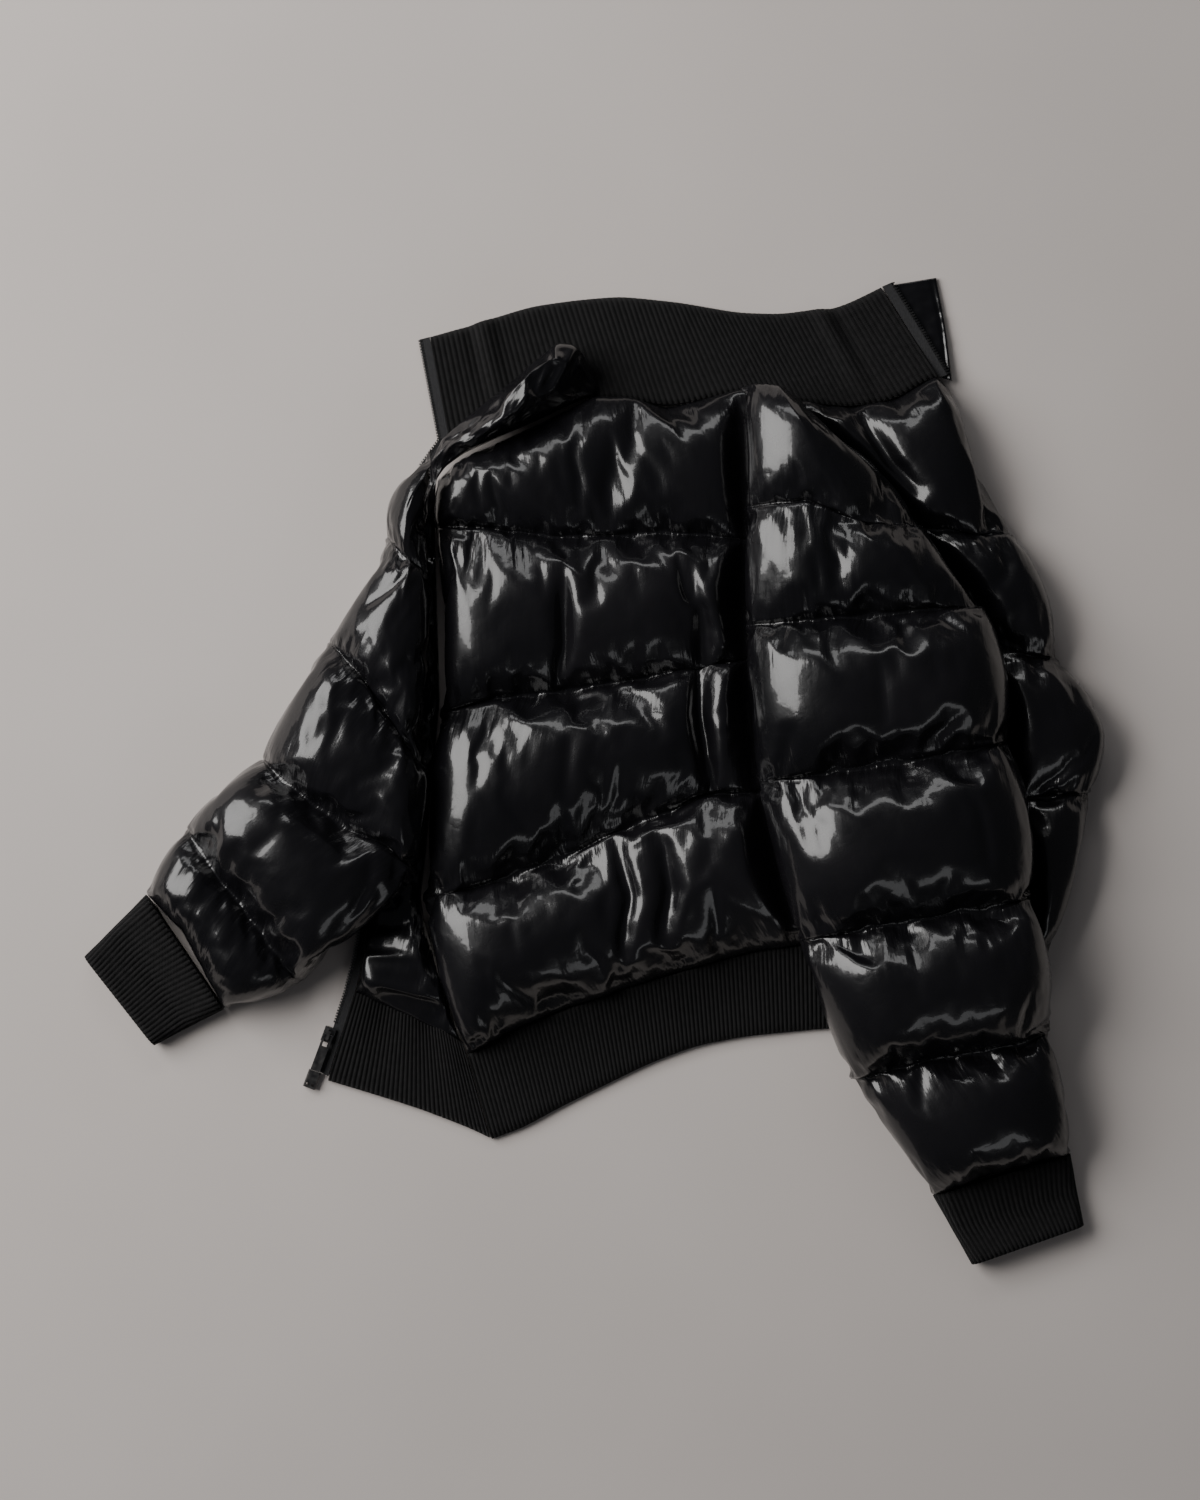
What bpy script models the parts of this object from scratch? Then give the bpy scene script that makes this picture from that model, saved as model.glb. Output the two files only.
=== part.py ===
"""A black quilted puffer jacket with a ribbed collar, hem and cuffs.

The jacket lies open on its lining with the back uppermost. The left sleeve is splayed out to
the side, the right sleeve is folded over the back, and both lie on what is below them.
Lengths are in millimetres here, and become metres when a mesh is made. X is to the right,
Y towards the collar and Z up, with the surface that the jacket lies on at Z = 0.
"""

from collections import namedtuple
from math import cos, hypot, pi, radians, sin, sqrt

import bmesh
import bpy
from mathutils import Matrix, Vector

MM = 0.001
SEAM_GAP = 0.3

# Heights above the surface.
PRESSED_TOP = 28.0        # back and right front where the right sleeve lies on them
FRONT_PRESSED_TOP = 20.0  # left front under the left sleeve
RIB_THICKNESS = 8.0       # the hem is a doubled rib knit
COLLAR_THICKNESS = 5.0
COLLAR_RISE = 8.0         # how far the neck seam lifts the collar
CUFF_WALL = 3.0
CUFF_END_HEIGHT = 18.0
CUFF_SEAM_HEIGHT = 22.0

# The zip.
TAPE_WIDTH = 8.0
TAPE_THICKNESS = 1.4
TAPE_LEVEL = 2.2
SLIDER_LENGTH = 12.0
SLIDER_WIDTH = 9.0
SLIDER_TOP = 6.4
PLATE = 1.4
ARCH_WIDTH = 2.4
ARCH_REACH = 4.4
ARCH_TOP = 10.4
PULL_LENGTH = 30.0
PULL_WIDTH = 7.6
PULL_THICKNESS = 1.5
PULL_BAR_RADIUS = 0.85
PULL_PIVOT_LEVEL = 7.6
SLOT_LENGTH = 9.5
SLOT_WIDTH = 3.8
BOX_LENGTH = 14.0
BOX_WIDTH = 10.0
BOX_TOP = 5.6

SLIDER_AT = (-207.5, -208.0)
BOX_AT = (-220.6, -243.2)

# One stitched seam of a quilted panel, and the padded channel that follows it.
# line: the seam from its left end to its right end; seam: its height;
# puff: the height of the channel after it; swell_left and swell_right: how far that
# channel's sides bow out (left is negative); steps: how many strips the channel is made of.
Seam = namedtuple("Seam", "line seam puff swell_left swell_right steps")

# How a panel's sides are rounded.
# tuck: how far the bottom stays inside the outline; rim: the outline's height as a share
# of the height next to it; reach: the width over which the padding rises.
Side = namedtuple("Side", "tuck rim reach")

SHOULDER = [(-121, 228), (-108, 241), (-94, 249), (-76, 257), (-45, 271), (-9, 288), (2, 293)]
NECK = [(26, 292), (58, 285), (76, 289), (113, 298), (150, 291)]
HEM_SEAM = [(-98, -223), (-56, -202), (-19, -187), (50, -164), (125, -143), (240, -128)]
NECK_RIGHT = [(150.6, 290.6), (203, 285), (222, 289), (237, 291), (252, 300), (269, 310), (281, 299)]

BACK = [
    Seam(SHOULDER + NECK, 14, 46, 0, 0, 4),
    Seam([(-123, 191), (-78, 188), (-30, 182), (55, 185), (118, 182), (206, 187)], 27, 54, 3, 0, 5),
    Seam([(-119, 45), (-75, 55), (25, 69), (122, 86), (235, 104)], 28, 55, 0, 0, 5),
    Seam([(-133, -100), (-75, -86), (-25, -69), (37, -42), (87, -20), (125, -17), (238, -4)],
         28, 50, -2, 0, 5),
    Seam(HEM_SEAM, 15, 15, 0, 0, 0),
]

FRONT_RIGHT = [
    Seam(NECK_RIGHT, 14, 44, 0, -4, 4),
    Seam([(206.6, 186.6), (257, 189), (331, 184)], 26, 44, 0, 8, 4),
    Seam([(235.6, 104), (303, 95), (364, 88)], 26, 46, 0, 20.3, 5),
    Seam([(238.6, -4), (330, -22), (390, -18)], 25, 44, 0, 4, 5),
    Seam([(240.6, -128), (300, -140), (355, -150)], 15, 15, 0, 0, 0),
]

SLEEVE_RIGHT = [
    Seam([(115, 299), (140, 299), (163, 289)], 46, 92, 2, 5, 5),
    Seam([(120, 204), (165, 207), (211, 192), (257, 189)], 74, 92, 0, -4, 4),
    Seam([(119, 112), (161, 115), (211, 119), (259, 125), (303, 127)], 74, 102, 0, 6, 5),
    Seam([(129, -8), (173, -3), (247, 8), (320, 22)], 76, 100, 0, 7, 5),
    Seam([(160, -131), (211, -122), (284, -108), (340, -98)], 72, 92, 0, 3, 5),
    Seam([(202, -241), (261, -225), (330, -211), (356, -204)], 48, 62, 2, 2, 5),
    Seam([(267, -333), (318, -315), (375, -300)], 26, 26, 0, 0, 0),
]

SLEEVE_LEFT = [
    Seam([(-125.5, 250), (-126, 231)], 46, 70, -12, 0, 4),
    Seam([(-160, 182), (-141, 162), (-125.5, 150)], 58, 74, 2, 0, 4),
    Seam([(-205, 100), (-177, 70), (-150, 31), (-127, -2)], 54, 76, -2, 0, 5),
    Seam([(-257, 8), (-228, -16), (-193, -43), (-161, -58), (-135, -80)], 52, 72, -4, 4, 5),
    Seam([(-317, -46), (-294, -78), (-267, -113), (-229, -165)], 40, 52, -2, 6, 4),
    Seam([(-350, -97), (-321, -127), (-289, -187)], 26, 26, 0, 0, 0),
]

# The left front runs from its plump shoulder, round under the sleeve's head, to the hem.
# outer: the zip side; inner: the side at the back panel; top: height; lift: its underside.
FrontRow = namedtuple("FrontRow", "outer inner top lift")
FRONT_LEFT = [
    FrontRow((4, 300), (2, 295), 20, 14),
    FrontRow((-5, 323), (-9, 290), 46, 14),
    FrontRow((-14, 331), (-22, 284), 58, 14),
    FrontRow((-28, 334), (-38, 276), 62, 14),
    FrontRow((-45, 321), (-53, 269.5), 62, 14),
    FrontRow((-66, 303), (-70, 262), 58, 14),
    FrontRow((-88, 285), (-87, 254.5), 50, 14),
    FrontRow((-106, 271), (-101, 248), 40, 14),
    FrontRow((-118, 260), (-115, 238), 26, 14),
    FrontRow((-127, 240), (-122.4, 228), 20, 14),
    FrontRow((-133, 205), (-124.2, 200), 20, 0),
    FrontRow((-139, 150), (-122.6, 150), 20, 0),
    FrontRow((-143, 100), (-121.2, 100), 20, 0),
    FrontRow((-146, 54), (-120, 54), 20, 0),
    FrontRow((-156, -10), (-125, -10), 20, 0),
    FrontRow((-167, -70), (-131.4, -70), 20, 0),
    FrontRow((-172, -100), (-135, -100), 20, 0),
    FrontRow((-175, -120), (-131.6, -120), 22, 0),
    FrontRow((-179, -145), (-123.8, -145), 31, 0),
    FrontRow((-183, -162), (-113.4, -178), 30, 0),
    FrontRow((-186, -174), (-102, -214), 13, 0),
]


# ---------------------------------------------------------------- lines and tables

def point_at(line, share):
    """The point at a share, 0 to 1, of a polyline's length."""
    lengths = [hypot(b[0] - a[0], b[1] - a[1]) for a, b in zip(line, line[1:])]
    left = share * sum(lengths)
    for start, end, length in zip(line, line[1:], lengths):
        if left <= length or end is line[-1]:
            part = min(left / length, 1.0)
            return (start[0] + (end[0] - start[0]) * part, start[1] + (end[1] - start[1]) * part)
        left -= length
    return line[-1]


def length_of(line):
    return sum(hypot(b[0] - a[0], b[1] - a[1]) for a, b in zip(line, line[1:]))


def read(table, at):
    """Straight-line reading of (station, value) pairs sorted by rising station."""
    if at <= table[0][0]:
        return table[0][1]
    for (low, low_value), (high, high_value) in zip(table, table[1:]):
        if at <= high:
            return low_value + (high_value - low_value) * (at - low) / (high - low)
    return table[-1][1]


def edge_table(seams, end):
    """A panel's side as (y, x) pairs, from the lowest up; end is 0 for left, -1 for right."""
    return sorted((seam.line[end][1], seam.line[end][0]) for seam in seams)


def mix(a, b, share):
    return a + (b - a) * share


def stations(columns):
    """Shares across a panel, closer together towards its two sides."""
    return [(column / columns + (1 - cos(pi * column / columns)) / 2) / 2 for column in range(columns + 1)]


# ---------------------------------------------------------------- what lies on what

RIGHT_SLEEVE_LEFT = edge_table(SLEEVE_RIGHT, 0)
RIGHT_SLEEVE_RIGHT = edge_table(SLEEVE_RIGHT, -1)
FRONT_EDGE = sorted((row.outer[1], row.outer[0]) for row in FRONT_LEFT[9:])

# Where the right sleeve lies, by y: on the back, down over the hem, then on the surface.
RIGHT_SLEEVE_SUPPORT = [(-262, 0), (-205, 12), (-150, PRESSED_TOP + SEAM_GAP)]


def pressed_by_right_sleeve(x, y, height):
    """The back and right front are flat where the right sleeve lies, and rise beside it."""
    outside = max(read(RIGHT_SLEEVE_LEFT, y) - x, x - read(RIGHT_SLEEVE_RIGHT, y))
    return min(height, PRESSED_TOP + max(0.0, outside - 2) * 1.2)


def surface(x, y):
    return 0.0


def under_right_sleeve(x, y):
    return read(RIGHT_SLEEVE_SUPPORT, y)


def under_left_sleeve(x, y):
    """The left sleeve lies on the left front, then drapes over its zip edge to the surface."""
    outside = read(FRONT_EDGE, y) - x
    on_front = FRONT_PRESSED_TOP + SEAM_GAP
    head = read([(190, 0), (231, 8)], y)
    return read([(4, on_front), (26, 0)], outside) + head


# ---------------------------------------------------------------- solids

def material(name, colour, roughness, metallic):
    made = bpy.data.materials.new(name)
    made.use_nodes = True
    shader = made.node_tree.nodes["Principled BSDF"]
    shader.inputs["Base Color"].default_value = (*colour, 1.0)
    shader.inputs["Roughness"].default_value = roughness
    shader.inputs["Metallic"].default_value = metallic
    return made


def add_object(name, bm, finish, place=(0.0, 0.0, 0.0)):
    """An object from a bmesh in millimetres, placed in millimetres."""
    bmesh.ops.scale(bm, vec=(MM, MM, MM), verts=bm.verts)
    bmesh.ops.recalc_face_normals(bm, faces=bm.faces)
    mesh = bpy.data.meshes.new(name)
    bm.to_mesh(mesh)
    bm.free()
    mesh.shade_smooth()
    mesh.set_sharp_from_angle(angle=radians(40))
    made = bpy.data.objects.new(name, mesh)
    made.location = [value * MM for value in place]
    made.data.materials.append(finish)
    bpy.context.collection.objects.link(made)
    return made


def slab(name, top, bottom, finish):
    """A closed solid between two grids of points with the same rows and columns."""
    bm = bmesh.new()
    rows = len(top)
    columns = len(top[0])
    bmesh.ops.create_grid(bm, x_segments=columns - 1, y_segments=rows - 1, size=0.5)
    cells = {}
    for vert in bm.verts:
        column = round((vert.co.x + 0.5) * (columns - 1))
        row = round((vert.co.y + 0.5) * (rows - 1))
        cells[vert] = (row, column)
    upper = list(bm.verts)
    lower = bmesh.ops.extrude_face_region(bm, geom=bm.faces[:])["geom"]
    for vert in lower:
        if isinstance(vert, bmesh.types.BMVert):
            column = round((vert.co.x + 0.5) * (columns - 1))
            row = round((vert.co.y + 0.5) * (rows - 1))
            vert.co = bottom[row][column]
    for vert in upper:
        row, column = cells[vert]
        vert.co = top[row][column]
    return add_object(name, bm, finish)


def arch(share):
    """The padded channel's profile between two seams, 0 at each and 1 between."""
    return sqrt(max(0.0, 1.0 - abs(2.0 * share - 1.0) ** 2.4))


def shoulder_round(distance, reach):
    """The rise of the padding from a side, 0 at the outline and 1 past its reach."""
    if distance >= reach:
        return 1.0
    return sqrt(1.0 - (1.0 - distance / reach) ** 2)


def quilt(name, seams, columns, left, right, under, press, finish):
    """A quilted panel: padded channels between seams, over a level or shaped underside."""
    top = []
    bottom = []
    for seam, following in zip(seams, seams[1:] + seams[-1:]):
        for step in range(max(seam.steps, 1)):
            share = step / max(seam.steps, 1)
            bow = sin(pi * share)
            height = mix(mix(seam.seam, following.seam, share), seam.puff, arch(share))
            width = mix(length_of(seam.line), length_of(following.line), share)
            top_row = []
            bottom_row = []
            for across in stations(columns):

                def spot(part):
                    a = point_at(seam.line, part)
                    b = point_at(following.line, part)
                    swell = mix(seam.swell_left, seam.swell_right, part) * bow
                    return mix(a[0], b[0], share) + swell, mix(a[1], b[1], share)

                x, y = spot(across)
                x_under, y_under = spot((left.tuck + across * (width - left.tuck - right.tuck)) / width)
                low = under(x_under, y_under)
                rise = shoulder_round(across * width, left.reach)
                rise = min(rise, shoulder_round((1 - across) * width, right.reach))
                rim = left.rim if across < 0.5 else right.rim
                level = low + max(height - low, 4.0) * mix(rim, 1.0, rise)
                top_row.append((x, y, press(x, y, level)))
                bottom_row.append((x_under, y_under, low))
            top.append(top_row)
            bottom.append(bottom_row)
    return slab(name, top, bottom, finish)


def band(name, upper_line, lower_line, columns, rows, level, finish):
    """A flat rib-knit band between two lines; level gives (underside, top) at x, y."""
    top = []
    bottom = []
    for row in range(rows + 1):
        top_row = []
        bottom_row = []
        for across in stations(columns):
            a = point_at(upper_line, across)
            b = point_at(lower_line, across)
            x = mix(a[0], b[0], row / rows)
            y = mix(a[1], b[1], row / rows)
            low, high = level(across, row / rows)
            top_row.append((x, y, high))
            bottom_row.append((x, y, low))
        top.append(top_row)
        bottom.append(bottom_row)
    return slab(name, top, bottom, finish)


def shifted(line, dx, dy):
    return [(x + dx, y + dy) for x, y in line]


# ---------------------------------------------------------------- the padded panels

def make_back(finish):
    quilt("back", BACK, 18, Side(16, 0.5, 34), Side(0, 1.0, 1), surface,
          pressed_by_right_sleeve, finish)


def make_front_right(finish):
    quilt("front_right", FRONT_RIGHT, 14, Side(0, 1.0, 1), Side(14, 0.45, 34), surface,
          pressed_by_right_sleeve, finish)


def make_front_left(finish):
    """Rows run round from the shoulder's tip to the hem, from the zip side to the back."""
    across = [0.0, 0.12, 0.3, 0.5, 0.7, 0.88, 1.0]
    crown = [0.55, 0.86, 1.0, 1.0, 1.0, 0.9, 0.72]
    top = []
    bottom = []
    for row in FRONT_LEFT:
        top_row = []
        bottom_row = []
        for part, share in zip(across, crown):
            x = mix(row.outer[0], row.inner[0], part)
            y = mix(row.outer[1], row.inner[1], part)
            top_row.append((x, y, row.lift + (row.top - row.lift) * share))
            bottom_row.append((x, y, row.lift))
        top.append(top_row)
        bottom.append(bottom_row)
    slab("front_left", top, bottom, finish)


def unpressed(x, y, height):
    return height


def make_sleeves(finish_right, finish_left):
    quilt("sleeve_right", SLEEVE_RIGHT, 12, Side(22, 0.42, 60), Side(22, 0.42, 60),
          under_right_sleeve, unpressed, finish_right)
    quilt("sleeve_left", SLEEVE_LEFT, 12, Side(8, 0.42, 40), Side(10, 0.42, 34),
          under_left_sleeve, unpressed, finish_left)


# ---------------------------------------------------------------- the rib-knit pieces

def make_collar(finish):
    """The collar lies on the surface at its top edge, and its foot rises to the neck seam."""
    top_edge = [(-127.7, 341), (-99, 349), (-87, 353), (-48, 365), (-13, 370), (22, 373), (69, 368),
                (115, 360), (150, 359), (174, 363), (186, 362), (201, 367), (227, 380)]
    foot = [(-112.5, 262), (-60, 279), (-4, 296), (26, 294.6), (58, 288), (76, 291.6), (113, 300.6),
            (150, 293.2), (203, 287.4), (222, 291), (237, 293), (252, 302.4), (268, 312.5), (271, 309)]

    def level(across, down):
        rise = read([(0.0, 0.0), (0.3, COLLAR_RISE), (1.0, COLLAR_RISE)], across) * down * down
        pleat = 3.0 * (1 - down) * (bump(across, 0.105, 0.03) + bump(across, 0.84, 0.03))
        return rise, rise + COLLAR_THICKNESS + pleat

    band("collar", top_edge, foot, 36, 5, level, finish)


def bump(at, centre, half_width):
    """A soft ridge of height 1."""
    away = abs(at - centre) / half_width
    return 0.0 if away >= 1 else 0.5 + 0.5 * cos(pi * away)


def rib_level(across, down):
    return 0.0, RIB_THICKNESS + 3.0 * (1 - down) * (1 - down)


def make_hem(back_finish, left_finish, right_finish):
    hem_foot = [(-79, -290), (-56, -282), (-25, -265), (44, -231), (81, -217), (122, -209), (186, -203),
                (238, -202)]
    band("hem_back", shifted(HEM_SEAM, 0, -SEAM_GAP), hem_foot, 18, 3, rib_level, back_finish)
    band("hem_front_left", [(-186.13, -174.27), (-102.13, -214.27)],
         [(-208, -244), (-165, -257), (-134, -267), (-95, -282), (-81, -289)], 9, 3, rib_level,
         left_finish)
    band("hem_front_right", [(240.8, -128.5), (300, -140.4), (354, -150.4)],
         [(238.6, -202), (300, -208), (340, -213)], 8, 3, rib_level, right_finish)


def cuff_ring(centre, half_width, height, across_axis, wall):
    """A flattened tube's section, level underneath, as points round from its left side."""
    corner = height / 2 - wall
    inner = half_width - wall - corner
    points = []
    turns = 6
    for side, start in ((1, -pi / 2), (-1, pi / 2)):
        for turn in range(turns + 1):
            angle = start + pi * turn / turns
            out = side * inner + corner * cos(angle)
            points.append(centre + across_axis * out + Vector((0, 0, height / 2 + corner * sin(angle))))
    return points


def make_cuff(name, seam_ends, end_ends, finish):
    """A ribbed tube lying flat and open at both ends."""
    bm = bmesh.new()
    skins = []
    for wall in (0.0, CUFF_WALL):
        loops = []
        for station in range(5):
            share = station / 4
            left = Vector((*[mix(a, b, share) for a, b in zip(seam_ends[0], end_ends[0])], 0))
            right = Vector((*[mix(a, b, share) for a, b in zip(seam_ends[1], end_ends[1])], 0))
            across_axis = (right - left).normalized()
            height = mix(CUFF_SEAM_HEIGHT, CUFF_END_HEIGHT, min(1.0, share * 2))
            ring = cuff_ring((left + right) / 2, (right - left).length / 2, height, across_axis, wall)
            verts = [bm.verts.new(point) for point in ring]
            loops.append([bm.edges.new(pair) for pair in zip(verts, verts[1:] + verts[:1])])
        skins.append(loops)
        for one, other in zip(loops, loops[1:]):
            bmesh.ops.bridge_loops(bm, edges=one + other)
    for end in (0, -1):
        bmesh.ops.bridge_loops(bm, edges=skins[0][end] + skins[1][end])
    add_object(name, bm, finish)


def make_cuffs(left_finish, right_finish):
    make_cuff("cuff_left", ((-350.4, -97.4), (-289.3, -187.6)), ((-398.9, -146), (-344, -216)), left_finish)
    make_cuff("cuff_right", ((267.2, -333.6), (375.2, -300.6)), ((298, -388), (386, -357)), right_finish)


# ---------------------------------------------------------------- zip and wind flap

def strip(name, outer, inner, levels, thickness, finish):
    """A thin strip between two lines of the same number of points."""
    top = []
    bottom = []
    for a, b, level in zip(outer, inner, levels):
        bottom.append([(*a, level), (*b, level)])
        top.append([(*a, level + thickness), (*b, level + thickness)])
    slab(name, top, bottom, finish)


def make_zip_tape_left(finish):
    """The tape runs down the collar, on under the sleeve's head, and down the front edge."""
    inner = [(-128, 341), (-112.9, 262), (-127.4, 240), (-133.4, 205), (-139.4, 150), (-143.4, 100),
             (-146.4, 54), (-156.4, -10), (-167.4, -70), (-174.4, -112), (-179.4, -145), (-186.8, -174.3),
             (-208.0, -240.5)]
    outer = [(-136, 339), (-120.9, 260)] + shifted(inner[2:-1], -TAPE_WIDTH, 0) + [(-215.2, -236.8)]
    strip("zip_tape_left", outer, inner, [TAPE_LEVEL] * len(inner), TAPE_THICKNESS, finish)


def make_zip_tape_right(finish):
    """The other tape shows beside the collar's right end, and lies on the wind flap."""
    inner = [(227.9, 380.5), (250.4, 343.4), (271.8, 308.6)]
    outer = [(236, 384), (259, 347), (280, 311)]
    strip("zip_tape_right", outer, inner, [3.9, 6.0, 8.6], TAPE_THICKNESS, finish)


def make_wind_flap(finish):
    inner = [(229, 381), (251.4, 344), (272, 309.5)]
    outer = [(271, 388), (279, 346), (283, 306)]
    strip("wind_flap", outer, inner, [0.0, 1.6, 4.4], 3.5, finish)


def chain_frame(at):
    """Local X runs along the chain towards the zip's foot, Y across it, Z up."""
    along = Vector((BOX_AT[0] - SLIDER_AT[0], BOX_AT[1] - SLIDER_AT[1], 0)).normalized()
    across = Vector((-along.y, along.x, 0))
    turn = Matrix((along, across, Vector((0, 0, 1)))).transposed().to_4x4()
    turn.translation = Vector((*at, 0)) * MM
    return turn


def prism(profile, plane, start, end):
    """A bmesh prism: a profile drawn in the YZ or XZ plane, extruded along the third axis."""
    bm = bmesh.new()

    def place(a, b, depth):
        return (depth, a, b) if plane == "YZ" else (a, depth, b)

    verts = [bm.verts.new(place(a, b, start)) for a, b in profile]
    face = bm.faces.new(verts)
    made = bmesh.ops.extrude_face_region(bm, geom=[face])["geom"]
    step = Vector(place(0, 0, end - start))
    bmesh.ops.translate(bm, vec=step, verts=[v for v in made if isinstance(v, bmesh.types.BMVert)])
    return bm


def tool(name, bm, frame, finish):
    """A solid that only shapes another: it is left out of the jacket."""
    made = add_object(name, bm, finish)
    made.matrix_world = frame
    made.hide_render = True
    made.display_type = "WIRE"
    return made


def combine(target, other, operation):
    step = target.modifiers.new(other.name, "BOOLEAN")
    step.operation = operation
    step.object = other


def make_slider(finish, frame):
    """A C-shaped body round the tape's edge, with an arch on top that holds the pull."""
    half = SLIDER_WIDTH / 2
    low = SEAM_GAP
    high = SLIDER_TOP
    body = [(half, low), (-half, low), (-half, high), (half, high), (half, high - PLATE),
            (PLATE - half, high - PLATE), (PLATE - half, low + PLATE), (half, low + PLATE)]
    slider = add_object("zip_slider", prism(body, "YZ", -SLIDER_LENGTH / 2, SLIDER_LENGTH / 2), finish)
    slider.matrix_world = frame
    foot = high - PLATE / 2
    leg = 1.4
    arch_profile = [(-ARCH_REACH, foot), (-ARCH_REACH, ARCH_TOP - 1), (-ARCH_REACH + 1, ARCH_TOP),
                    (ARCH_REACH - 1, ARCH_TOP), (ARCH_REACH, ARCH_TOP - 1), (ARCH_REACH, foot),
                    (ARCH_REACH - leg, foot), (ARCH_REACH - leg, ARCH_TOP - leg),
                    (-ARCH_REACH + leg, ARCH_TOP - leg), (-ARCH_REACH + leg, foot)]
    arch_bar = prism(arch_profile, "XZ", -ARCH_WIDTH / 2, ARCH_WIDTH / 2)
    combine(slider, tool("slider_arch", arch_bar, frame, finish), "UNION")


def make_pull(finish, frame):
    """A plate with a slot round the arch, and a round bar under it, on the pull's axis."""
    hinge = bpy.data.objects.new("zip_pull_axis", None)
    bpy.context.collection.objects.link(hinge)
    hinge.matrix_world = frame @ Matrix.Translation((0, 0, PULL_PIVOT_LEVEL * MM))
    half = PULL_WIDTH / 2
    thick = PULL_THICKNESS / 2
    profile = [(0, -thick), (PULL_LENGTH, -thick), (PULL_LENGTH, thick), (0, thick)]
    pull = add_object("zip_pull", prism(profile, "XZ", -half, half), finish)
    pull.parent = hinge
    place = hinge.matrix_world
    slot = [(0.4, -2), (SLOT_LENGTH, -2), (SLOT_LENGTH, 2), (0.4, 2)]
    slot_solid = prism(slot, "XZ", -SLOT_WIDTH / 2, SLOT_WIDTH / 2)
    combine(pull, tool("pull_slot", slot_solid, place, finish), "DIFFERENCE")
    bar = bmesh.new()
    bmesh.ops.create_cone(bar, cap_ends=True, segments=16, radius1=PULL_BAR_RADIUS,
                          radius2=PULL_BAR_RADIUS, depth=PULL_WIDTH)
    bmesh.ops.rotate(bar, matrix=Matrix.Rotation(pi / 2, 3, "X"), verts=bar.verts)
    combine(pull, tool("pull_bar", bar, place, finish), "UNION")


def make_zip_box(finish, frame):
    """The metal box at the zip's foot, with two small slots through its far end."""
    half = BOX_WIDTH / 2
    profile = [(-half + 1, SEAM_GAP), (half - 1, SEAM_GAP), (half, 1.3), (half, BOX_TOP - 1),
               (half - 1, BOX_TOP), (-half + 1, BOX_TOP), (-half, BOX_TOP - 1), (-half, 1.3)]
    box = add_object("zip_box", prism(profile, "YZ", -BOX_LENGTH / 2, BOX_LENGTH / 2), finish)
    box.matrix_world = frame
    for number, side in enumerate((-1, 1)):
        hole = [(3.2, -1), (5.2, -1), (5.2, BOX_TOP + 1), (3.2, BOX_TOP + 1)]
        middle = side * 2.2
        slot_solid = prism(hole, "XZ", middle - 1.2, middle + 1.2)
        combine(box, tool("box_slot_%d" % number, slot_solid, frame, finish), "DIFFERENCE")


# ---------------------------------------------------------------- the jacket

def main():
    for old in list(bpy.data.objects):
        bpy.data.objects.remove(old, do_unlink=True)

    def shell(name):
        return material(name, (0.012, 0.012, 0.014), 0.14, 0.0)

    def rib(name):
        return material(name, (0.018, 0.017, 0.018), 0.9, 0.0)

    def gunmetal(name):
        return material(name, (0.09, 0.09, 0.1), 0.3, 1.0)

    def weave(name):
        return material(name, (0.014, 0.014, 0.015), 0.8, 0.0)

    make_back(shell("back_shell"))
    make_front_right(shell("front_right_shell"))
    make_front_left(shell("front_left_shell"))
    make_sleeves(shell("sleeve_right_shell"), shell("sleeve_left_shell"))
    make_collar(rib("collar_rib"))
    make_hem(rib("hem_back_rib"), rib("hem_front_left_rib"), rib("hem_front_right_rib"))
    make_cuffs(rib("cuff_left_rib"), rib("cuff_right_rib"))
    make_zip_tape_left(weave("zip_tape_left_weave"))
    make_zip_tape_right(weave("zip_tape_right_weave"))
    make_wind_flap(shell("wind_flap_shell"))
    make_slider(gunmetal("zip_slider_metal"), chain_frame(SLIDER_AT))
    make_pull(gunmetal("zip_pull_metal"), chain_frame(SLIDER_AT))
    make_zip_box(gunmetal("zip_box_metal"), chain_frame(BOX_AT))


main()
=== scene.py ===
# %% [markdown]
# # A glossy quilted puffer jacket, lying open
#
# The jacket lies on its lining with the back uppermost, so nearly everything that shows is
# padded cloth. A puffer is two layers of cloth stitched together along seams, with fill
# blown into the channels between them. Each panel here is made in the same order: its
# seams are drawn, the channels are inflated by Blender's cloth simulation while the
# seams are held, and the thread and the finish come last.
#
# Lengths in the tables are millimetres, as a pattern cutter writes them. The frame is in
# metres, so every point is multiplied by MM when a mesh is made.

# %% Load the frame
from collections import namedtuple
from math import cos, hypot, pi, sin, sqrt

import bmesh
import bpy
import numpy as np
from mathutils import Matrix, Vector, noise


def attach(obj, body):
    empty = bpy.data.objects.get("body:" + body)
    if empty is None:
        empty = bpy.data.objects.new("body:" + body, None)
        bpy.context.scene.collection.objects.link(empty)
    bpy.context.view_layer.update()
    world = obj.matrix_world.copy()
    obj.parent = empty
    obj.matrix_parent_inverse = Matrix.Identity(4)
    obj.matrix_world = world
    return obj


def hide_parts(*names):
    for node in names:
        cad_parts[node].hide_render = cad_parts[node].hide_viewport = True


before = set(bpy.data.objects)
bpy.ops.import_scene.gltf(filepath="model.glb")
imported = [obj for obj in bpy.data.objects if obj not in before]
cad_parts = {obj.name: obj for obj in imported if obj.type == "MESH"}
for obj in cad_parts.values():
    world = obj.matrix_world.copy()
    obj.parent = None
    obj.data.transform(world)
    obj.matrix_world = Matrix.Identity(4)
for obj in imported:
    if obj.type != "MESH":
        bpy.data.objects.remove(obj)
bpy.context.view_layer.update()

MM = 0.001
JACKET = "jacket"

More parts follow.
